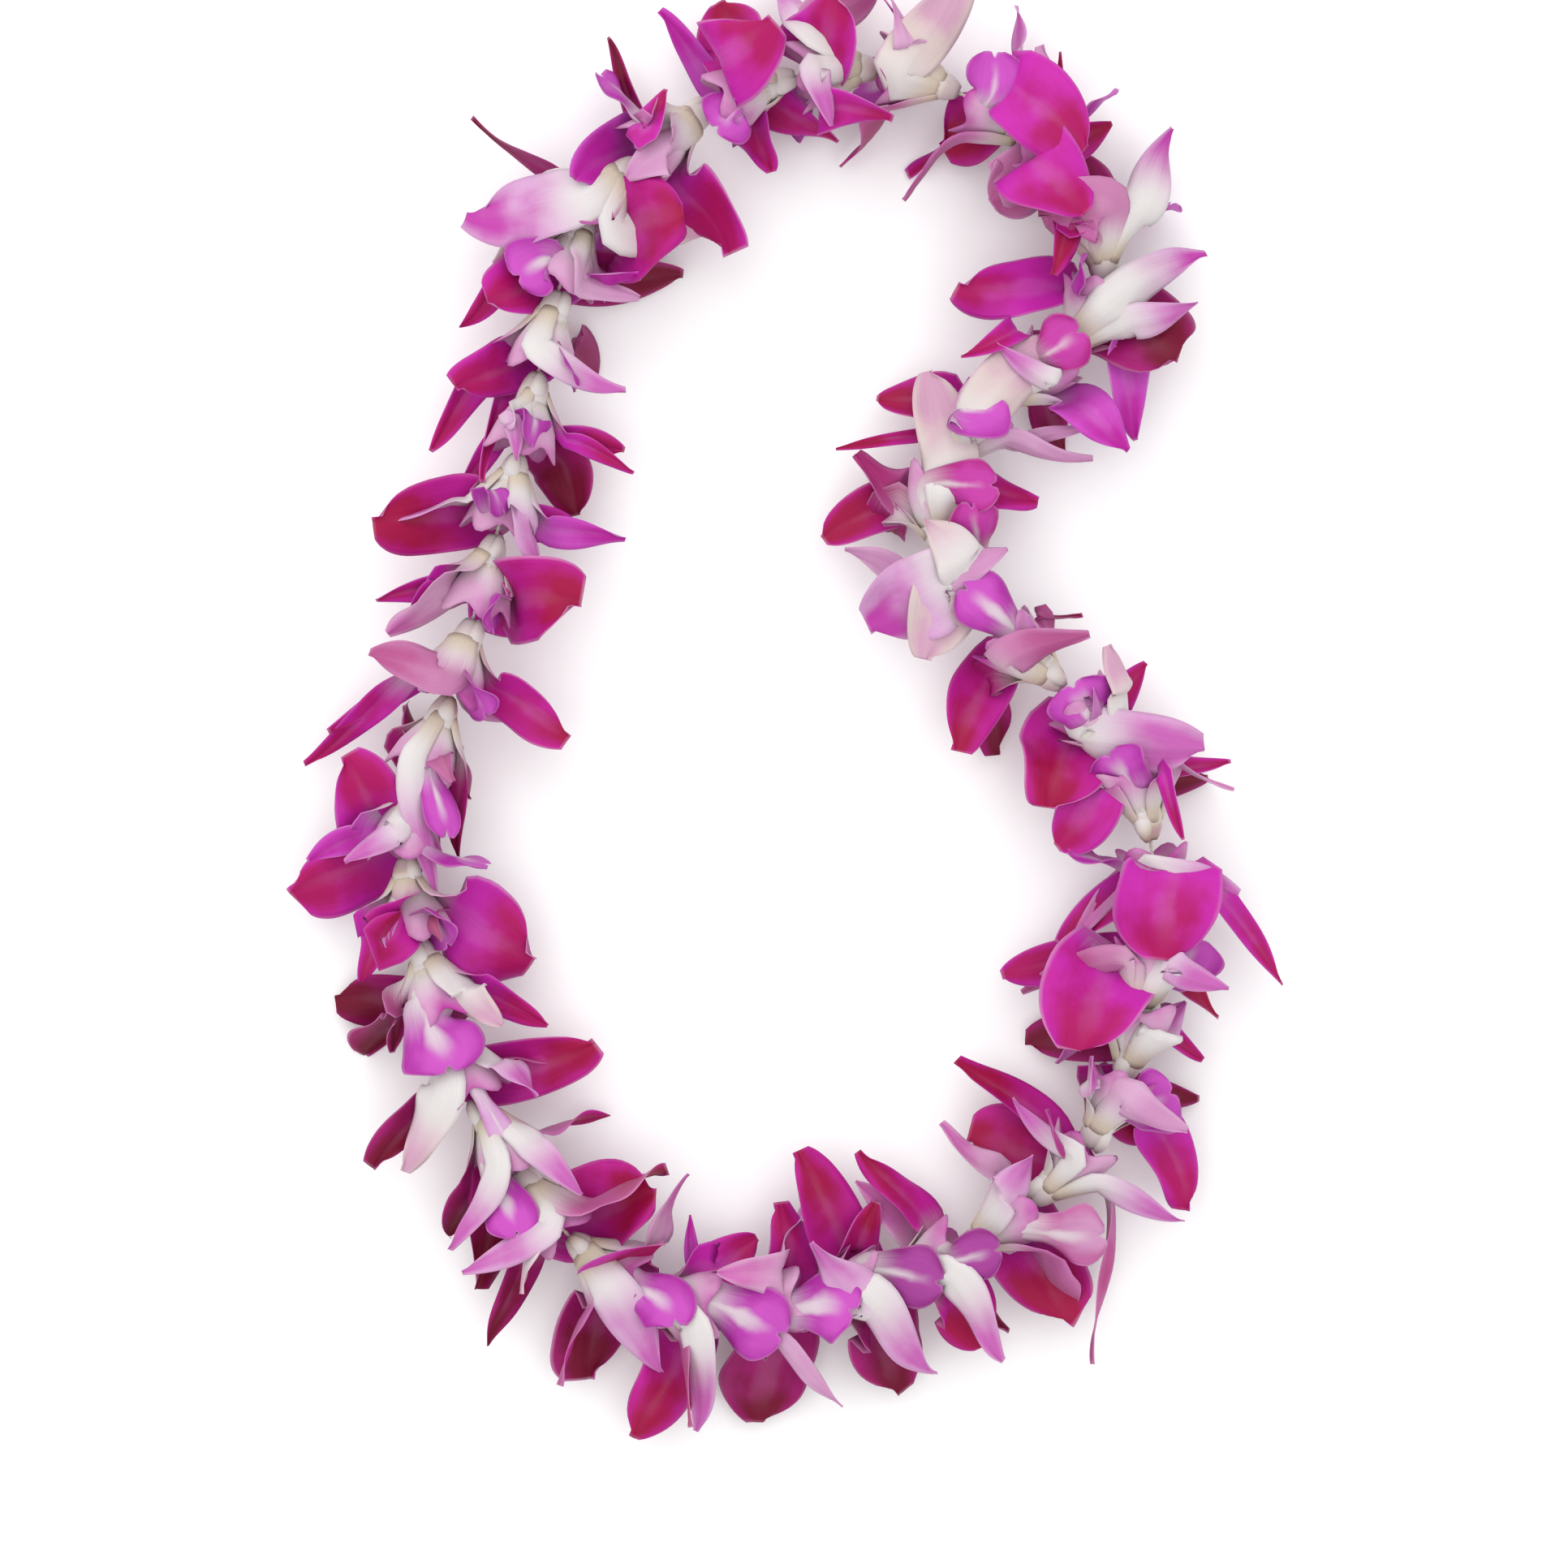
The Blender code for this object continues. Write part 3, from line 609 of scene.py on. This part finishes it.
def add_cup(bundle, route, at, dice):
    """The pale funnel that the bases of the sepals and petals make together, with a wavy rim."""
    rings, spokes = CUP_RINGS, CUP_SPOKES
    lobes, phase = dice.choice((4, 5)), dice.uniform(0, 6)
    turn = np.linspace(0, 2 * math.pi, spokes, endpoint=False)
    wave = np.sin(lobes * turn + phase)
    reach = CUP_LENGTH * (0.88 + 0.12 * wave)
    walls = []
    for inset in (0.0, CUP_WALL):
        for share in np.linspace(0, 1, rings):
            ahead = share * reach
            radius = np.interp(ahead, CUP_STEPS, CUP_RADII) * (1 + 0.05 * share * wave)
            ring = []
            for step, size, angle in zip(ahead, radius - inset, turn):
                spot = Spot(route, at + step)
                ring.append(spot.place + size * spot.outward(angle))
            walls.append(ring)
    grid = np.arange(2 * rings * spokes).reshape(2, rings, spokes)
    faces = []
    for j in range(spokes):
        k = (j + 1) % spokes
        for i in range(rings - 1):
            faces.append((grid[0, i, j], grid[0, i + 1, j], grid[0, i + 1, k], grid[0, i, k]))
            faces.append((grid[1, i, k], grid[1, i + 1, k], grid[1, i + 1, j], grid[1, i, j]))
        faces.append((grid[0, -1, j], grid[1, -1, j], grid[1, -1, k], grid[0, -1, k]))
        faces.append((grid[0, 0, k], grid[1, 0, k], grid[1, 0, j], grid[0, 0, j]))
    shares = np.repeat(np.tile(np.linspace(0.1, 0.62, rings), 2), spokes)
    places = np.stack([np.tile(turn / (2 * math.pi), 2 * rings), shares], axis=-1)
    tips, bases = (*TONES["v"][0], 0.30), (*TONES["l"][1], 0.0)
    bundle.add(np.array(walls).reshape(-1, 3), faces, places, tips, bases)


class Mouth(Spot):
    """Where the throat ends and its pieces begin."""

    def start(self, kind, turn):
        """Where a piece starts on the rim, the way it leaves, and the way its inner face looks."""
        outward = self.outward(turn)
        lean = math.radians(LEAN[kind])
        radius = RIM_RADIUS - RIM_INSET + RIM_LEVEL[kind]
        place = self.place + radius * outward - ROOT_INSIDE * self.way
        first = math.cos(lean) * self.way + math.sin(lean) * outward
        inner = math.sin(lean) * self.way - math.cos(lean) * outward
        return place, first, inner

    def face_goal(self, run, face_turn):
        """The face's wanted way on a piece that runs along run: 0 up, 90 ahead, 180 down."""
        over = UP - (UP @ run) * run
        if np.linalg.norm(over) < 0.15:
            over = self.way - (self.way @ run) * run
        over = unit(over)
        ahead = np.cross(run, over)
        if ahead @ self.way < 0:
            ahead = -ahead
        turn = math.radians(face_turn)
        return math.cos(turn) * over + math.sin(turn) * ahead

    def twist(self, kind, turn, tip, face_turn):
        """How far a piece that starts at this turn has to twist, in radians."""
        place, first, inner = self.start(kind, turn)
        chord = unit(tip - place - CUP[kind] * first)
        axis, even = np.cross(first, chord), first @ chord
        if even < -0.97:
            return 0.3
        carried = inner * even + np.cross(axis, inner) + axis * (axis @ inner) / (1 + even)
        wanted = self.face_goal(chord, face_turn)
        return abs(math.atan2(np.cross(carried, wanted) @ chord, carried @ wanted))


def gap_between(a, b):
    return abs(math.remainder(a - b, 2 * math.pi))


def base_turn(mouth, kind, tip, face_turn, taken):
    """Where on the rim a piece starts: near its tip's side, with little twist, clear of those before it."""
    off = tip - mouth.place
    azimuth = math.atan2(off[2] + 2, off @ mouth.right)

    def cost(turn):
        crowd = sum(max(0.0, 0.9 - gap_between(turn, other)) for other in taken)
        return mouth.twist(kind, turn, tip, face_turn) + 0.55 * gap_between(turn, azimuth) + 0.9 * crowd

    return min(np.radians(np.arange(-180, 180, 10)), key=cost)


def spare_pieces(shown, mouth, dice):
    """Tips for the pieces that the table leaves out, in the widest gaps round the rim."""
    missing = ["P"] * 2 + ["S"] * 3 + ["L"]
    # A sepal or petal too many takes the place of one of the other kind
    for piece in shown:
        kind = piece[0]
        for other in (kind, "S", "P") if kind != "L" else ("L",):
            if other in missing:
                missing.remove(other)
                break
    taken = [piece[-1] for piece in shown]
    found = []
    for kind in missing:
        choices = np.radians(np.arange(-180, 180, 6))
        gaps = [min([gap_between(c, t) for t in taken] or [3.0]) for c in choices]
        turn = choices[int(np.argmax(gaps))] + dice.uniform(-0.1, 0.1)
        taken.append(turn)
        above = math.sin(turn) > 0.25
        reach = (LENGTHS[kind] - CUP[kind]) * SPARE_REACH[above]
        ahead = dice.uniform(*SPARE_AHEAD[above])
        place, first, _ = mouth.start(kind, turn)
        place = place + CUP[kind] * first
        tip = place + reach * unit(mouth.outward(turn) + ahead * mouth.way)
        tip[2] = min(max(tip[2], LOWEST + 0.2 + 0.8 * dice.random()), HIGHEST - 15)
        flat = unit((tip - place)[:2])
        room = math.sqrt(max(reach**2 - (tip[2] - place[2])**2, 25))
        tip[:2] = place[:2] + flat * min(room, reach)
        # Spares below the string may take tone d, a dark crimson painted as shade
        tone = {"P": dice.choice("w" if above else "mcd"), "S": dice.choice("wk" if above else "mwlc"),
                "L": "v"}[kind]
        found.append((kind, tip, None, SPARE_WIDTH[kind] * dice.uniform(0.9, 1.1), tone, turn))
    return found


def add_piece(bundle, lips, mouth, piece, turn, dice):
    """One petal, sepal or lip from its place on the throat's rim to its tip."""
    kind, tip, face_turn, width, tone = piece[:5]
    place, first, inner = mouth.start(kind, turn)
    chord = unit(tip - place - CUP[kind] * first)
    level = unit(np.array([chord[0], chord[1], 0.0]) + 1e-6)
    openness = abs(math.cos(math.radians(face_turn))) if face_turn is not None else 0.4
    last = unit((1 - openness) * chord + openness * (level - 0.15 * UP))
    line = middle_line(place, first, tip, last, CUP[kind], FLARE[kind], LENGTHS[kind])
    line[:, 2] = np.maximum(line[:, 2], LOWEST + 0.02 * line[:, 2])
    # The line sways beyond its cup only
    beyond = np.clip(np.linspace(-0.25, 1, len(line)), 0, 1)[:, None]
    sway = np.cross(chord, UP) * dice.uniform(-2.0, 2.0) * np.sin(math.pi * beyond)
    snake = np.cross(chord, UP) * dice.uniform(-1.0, 1.0) * np.sin(2 * math.pi * beyond)
    line = line + sway + snake
    goal = None if face_turn is None else lambda run: mouth.face_goal(run, face_turn)
    blade = Blade(line, inner, goal, end_twist=dice.uniform(-0.45, 0.45))
    if kind == "L":
        add_lip(lips, blade, width, tone, dice)
    else:
        add_tepal(bundle, blade, kind, width, tone, dice)


def tip_height(mouth, kind, off, from_string, face_turn, tone, dice):
    """Pieces over the string clear the throats, dark pieces, whose colour is painted shade, lie low, and
    pieces seen edge on stand up.
    """
    flat = np.linalg.norm(off)
    room = math.sqrt(max((LENGTHS[kind] - 5)**2 - flat**2, 0))
    if off @ mouth.way[:2] < 0 and from_string < 1.5 * OVER_STRING:
        from_string = 0
    upright = 1 - abs(math.cos(math.radians(face_turn)))
    if kind == "L" or from_string < OVER_STRING and tone not in DARK_TONES:
        height = mouth.place[2] + TIP_CLEARANCE + 0.3 * upright * room + dice.uniform(-1, 2)
    else:
        rise = DARK_TIP_RISE if tone in DARK_TONES else TURNED_TIP_RISE if face_turn > 120 else TIP_RISE
        height = mouth.place[2] + (rise + 0.5 * upright) * room + dice.uniform(-1, 1)
    beyond = flat - LENGTHS[kind] * 0.85
    if beyond > 0:
        height -= 0.6 * beyond
    return min(max(height, LOWEST + 0.4), HIGHEST)


def make_bloom(number, row, route, pitch, petal_material, lip_material):
    """One bloom as two pieces: its petals with sepals and cup, and its lip with throat, chin and column."""
    dice = random.Random(SEED + number)
    slide, pieces = row[0], row[1:]
    at = (number - 1) * pitch + slide
    mouth = Mouth(route, at)
    shown = []
    for kind, x, y, face_turn, width, tone, *height in pieces:
        spot = np.array([x, y]) + route.shift
        off = spot - mouth.place[:2]
        aside = np.linalg.norm(route.line - spot, axis=1).min()
        z = height[0] if height else tip_height(mouth, kind, off, aside, face_turn, tone, dice)
        tip = route.seen_at(x, y, z)
        tilt = max(0.5, abs(math.cos(math.radians(face_turn))))
        real = min(max(FULLNESS[kind] * width / tilt, NARROWEST), WIDEST[kind])
        turn = base_turn(mouth, kind, tip, face_turn, [piece[-1] for piece in shown])
        shown.append((kind, tip, face_turn, real, tone, turn))
    shown += spare_pieces(shown, mouth, dice)
    shown.sort(key=lambda piece: piece[-1])
    even = [2 * math.pi / len(shown) * index for index in range(len(shown))]
    start = np.mean([piece[-1] - place for piece, place in zip(shown, even)])
    petals, lips = Bundle(), Bundle()
    lip_way = -UP
    for piece, place in zip(shown, even):
        turn = 0.6 * piece[-1] + 0.4 * (place + start)
        if piece[0] == "L":
            lip_way = mouth.outward(turn)
        add_piece(petals, lips, mouth, piece, turn, dice)
    add_throat(lips, route, at - THROAT_LENGTH, lip_way)
    add_cup(petals, route, at - CUP_BACK, dice)
    node = f"flower_{number:02d}"
    for bundle, name, material in ((petals, "petals", petal_material), (lips, "lip", lip_material)):
        made = bundle.build(f"{name}_{number:02d}", material)
        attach(made, "root")
        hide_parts(node)


def add_knot(bundle, route, at):
    """The knot: one end wound round the string, with both ends left short."""
    spot = Spot(route, at)
    path = []
    for share in np.linspace(0, 1, KNOT_RINGS):
        outward = spot.outward(2 * math.pi * KNOT_TURNS * share)
        path.append(spot.place + (share - 0.5) * KNOT_LENGTH * spot.way + KNOT_RADIUS * outward)
    ends = [[path[end] + share * TAIL_LENGTH * unit(0.6 * spot.way + side * spot.right + 0.5 * share * UP)
             for share in (0.33, 0.67, 1.0)] for end, side in ((0, 1), (-1, -1))]
    path = np.array(ends[0][::-1] + path + ends[1])
    runs = np.gradient(path, axis=0)
    rings = []
    turn = np.linspace(0, 2 * math.pi, KNOT_SPOKES, endpoint=False)[:, None]
    for centre, run in zip(path, runs):
        side = unit(np.cross(run, spot.way))
        over = unit(np.cross(side, run))
        rings.append(centre + STRING_RADIUS / MM * (np.cos(turn) * side + np.sin(turn) * over))
    faces = tube_faces(len(path), KNOT_SPOKES)
    bundle.add(np.vstack(rings), faces, np.zeros((len(path) * KNOT_SPOKES, 2)), (*WHITE, 0.0), (*WHITE, 0.0))


def make_string(route, pitch, material):
    """The cotton string: two plies twisted together along the route, and its knot."""
    bundle = Bundle()
    count, spokes = PLY_RINGS, PLY_SPOKES
    angles = np.linspace(0, 2 * math.pi, spokes, endpoint=False)[:, None]
    for ply in (0, math.pi):
        rings = []
        for i in range(count):
            s = route.length * i / count
            spot = Spot(route, s)
            middle = spot.place + PLY_OFFSET * spot.outward(2 * math.pi * s / PLY_LAY + ply)
            rings.append(middle + PLY_RADIUS * (np.cos(angles) * spot.right + np.sin(angles) * UP))
        faces = tube_faces(count, spokes, joined=True)
        bundle.add(np.vstack(rings), faces, np.zeros((count * spokes, 2)), (*WHITE, 0.0), (*WHITE, 0.0))
    add_knot(bundle, route, (KNOT_BLOOM - 1) * pitch + KNOT_AHEAD)
    made = bundle.build("string_plies", material)
    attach(made, "root")
    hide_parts("string")


class Shader:
    """A material's nodes, made one after another."""

    def __init__(self, name):
        self.material = bpy.data.materials.new(name)
        self.material.use_nodes = True
        self.tree = self.material.node_tree
        self.surface = self.tree.nodes["Principled BSDF"]

    def node(self, kind, **settings):
        made = self.tree.nodes.new("ShaderNode" + kind)
        for key, value in settings.items():
            setattr(made, key, value)
        return made

    def link(self, source, target):
        self.tree.links.new(source, target)

    def feed(self, socket, value):
        if isinstance(value, bpy.types.NodeSocket):
            self.link(value, socket)
        else:
            socket.default_value = value

    def math(self, operation, a, b=0.0, c=0.0):
        made = self.node("Math", operation=operation)
        for socket, value in zip(made.inputs, (a, b, c)):
            self.feed(socket, value)
        return made.outputs[0]

    def ramp(self, value, low, high):
        """Smoothly from 0 at low to 1 at high; low may be the larger."""
        made = self.node("MapRange", interpolation_type="SMOOTHSTEP")
        for index, number in enumerate((value, low, high, 0.0, 1.0)):
            self.feed(made.inputs[index], number)
        return made.outputs[0]

    def mix(self, factor, a, b, blend="MIX"):
        made = self.node("Mix", data_type="RGBA", blend_type=blend)
        for index, value in ((0, factor), (6, a), (7, b)):
            self.feed(made.inputs[index], value)
        return made.outputs[2]

    def noise(self, where, scale, detail=3.0):
        made = self.node("TexNoise")
        self.link(where, made.inputs["Vector"])
        made.inputs["Scale"].default_value = scale
        made.inputs["Detail"].default_value = detail
        return made.outputs["Fac"]


def colour(rgb):
    return (*rgb, 1.0)


def petal_finish(name, roughness, stripe):
    """Velvety orchid petal: cream at its root, partly painted shade, white at its base, then violet, partly a
    painted highlight, and crimson towards its tip.
    The stripe is how white the line along its middle stays."""
    m = Shader(name)
    place = m.node("UVMap", uv_map="petal").outputs[0]
    split = m.node("SeparateXYZ")
    m.link(place, split.inputs[0])
    over, along = split.outputs[0], split.outputs[1]
    across = m.math("ABSOLUTE", m.math("MULTIPLY_ADD", over, 2.0, -1.0))
    where = m.node("TexCoord").outputs["Object"]
    cloud = m.noise(where, 60.0)
    fine = m.noise(where, 900.0)
    tipward = m.node("Attribute", attribute_name="tipward")
    baseward = m.node("Attribute", attribute_name="baseward")
    reach, pale_edge = tipward.outputs["Alpha"], baseward.outputs["Alpha"]

    # Crimson towards the tip and away from the sides, with an uneven edge; the violet at the base and sides
    # is partly a painted highlight
    wander = m.math("MULTIPLY_ADD", cloud, 0.9, -0.45)
    outer = m.ramp(m.math("ADD", along, wander), 0.34, 0.86)
    inner = m.ramp(m.math("ADD", across, m.math("MULTIPLY", wander, -1.0)), 1.05, 0.45)
    deep = m.math("MULTIPLY", outer, m.math("MULTIPLY_ADD", inner, 0.8, 0.2))
    body = m.mix(deep, baseward.outputs["Color"], tipward.outputs["Color"])

    # White from the base outward in streaks, cream at the root that is partly painted shade, and a lip's pale
    # stripe
    stretch = m.node("Mapping")
    stretch.inputs["Scale"].default_value = (26.0, 2.0, 1.0)
    m.link(place, stretch.inputs[0])
    streak = m.noise(stretch.outputs[0], 1.0)
    streaked = m.math("ADD", along, m.math("MULTIPLY_ADD", streak, 0.16, m.math("MULTIPLY", across, 0.06)))
    root = m.mix(m.ramp(along, 0.26, 0.04), colour(WHITE), colour(SHADED_CREAM))
    start = m.math("ADD", reach, 0.26)
    pale = m.ramp(streaked, start, m.math("MULTIPLY_ADD", reach, 0.7, 0.0))
    centre = m.math("MULTIPLY", m.ramp(m.math("ADD", across, wander), 0.30, 0.0), m.ramp(along, 1.0, 0.65))
    pale = m.math("MAXIMUM", pale, m.math("MULTIPLY", centre, stripe))
    body = m.mix(pale, body, root)

    # A pale rim round the sides and the tip
    ending = m.math("MULTIPLY_ADD", along, 4.0, -3.0)
    rim = m.math("MULTIPLY", m.ramp(m.math("MAXIMUM", across, ending), 0.9, 0.995), pale_edge)
    body = m.mix(rim, body, colour(PALE_RIM))

    # Veins as slight changes of shade and height
    shade = m.math("MULTIPLY_ADD", streak, 0.16, 0.92)
    veined = m.node("VectorMath", operation="SCALE")
    m.link(body, veined.inputs[0])
    m.link(shade, veined.inputs["Scale"])
    m.link(veined.outputs[0], m.surface.inputs["Base Color"])
    bump = m.node("Bump")
    bump.inputs["Strength"].default_value = 0.3
    bump.inputs["Distance"].default_value = 0.0004
    m.link(m.math("MULTIPLY_ADD", fine, 0.5, streak), bump.inputs["Height"])
    m.link(bump.outputs[0], m.surface.inputs["Normal"])
    m.link(m.math("MULTIPLY_ADD", cloud, 0.2, roughness - 0.1), m.surface.inputs["Roughness"])
    m.surface.inputs["Specular IOR Level"].default_value = 0.14
    return m.material


def cotton_finish():
    m = Shader("cotton_string")
    where = m.node("TexCoord").outputs["Object"]
    fuzz = m.noise(where, 2500.0)
    m.link(m.mix(fuzz, colour((0.55, 0.5, 0.4)), colour((0.86, 0.83, 0.74))), m.surface.inputs["Base Color"])
    m.surface.inputs["Roughness"].default_value = 0.9
    return m.material


def make_stage():
    bpy.ops.mesh.primitive_plane_add(size=FLOOR_SIZE, location=(0, 0, -FLOOR_DROP))
    floor = bpy.context.object
    floor.name = "floor"
    m = Shader("pale_floor")
    m.surface.inputs["Base Color"].default_value = (0.97, 0.97, 0.97, 1.0)
    m.surface.inputs["Roughness"].default_value = 0.8
    m.surface.inputs["Specular IOR Level"].default_value = 0.1
    floor.data.materials.append(m.material)


def make_light(name, place, target, size, power):
    data = bpy.data.lights.new(name, "AREA")
    data.shape = "SQUARE"
    data.size = size
    data.energy = power
    lamp = bpy.data.objects.new(name, data)
    bpy.context.scene.collection.objects.link(lamp)
    lamp.location = place
    away = np.array(place) - np.array(target)
    lamp.rotation_euler = (0, math.acos(away[2] / np.linalg.norm(away)), math.atan2(away[1], away[0]))


def make_lights():
    make_light("overhead", (0.0, 0.3, 2.2), (0, 0, 0), 3.0, 24)
    make_light("from_the_top", (-0.9, 1.5, 1.2), (0, 0, 0), 1.2, 8)
    world = bpy.data.worlds.new("studio")
    bpy.context.scene.world = world
    world.use_nodes = True
    back = world.node_tree.nodes["Background"]
    back.inputs["Color"].default_value = (1.0, 1.0, 1.0, 1.0)
    back.inputs["Strength"].default_value = 0.96


def make_camera(route):
    data = bpy.data.cameras.new("camera")
    data.sensor_width = SENSOR_WIDTH
    data.lens = SENSOR_WIDTH / PICTURE_WIDTH * EYE_HEIGHT
    data.clip_start = 0.1
    data.clip_end = 20.0
    camera = bpy.data.objects.new("camera", data)
    bpy.context.scene.collection.objects.link(camera)
    camera.location = np.array([*route.eye, route.height + EYE_HEIGHT]) * MM
    bpy.context.scene.camera = camera


def main():
    route = Route()
    pitch = route.length / len(BLOOMS)
    petal_material = petal_finish("orchid_petal", 0.46, 0.05)
    lip_material = petal_finish("orchid_lip", 0.40, 0.75)
    for number, row in enumerate(BLOOMS, start=1):
        make_bloom(number, row, route, pitch, petal_material, lip_material)
    make_string(route, pitch, cotton_finish())
    make_stage()
    make_lights()
    make_camera(route)
    scene = bpy.context.scene
    scene.view_settings.view_transform = "Standard"
    scene.view_settings.look = "None"


main()
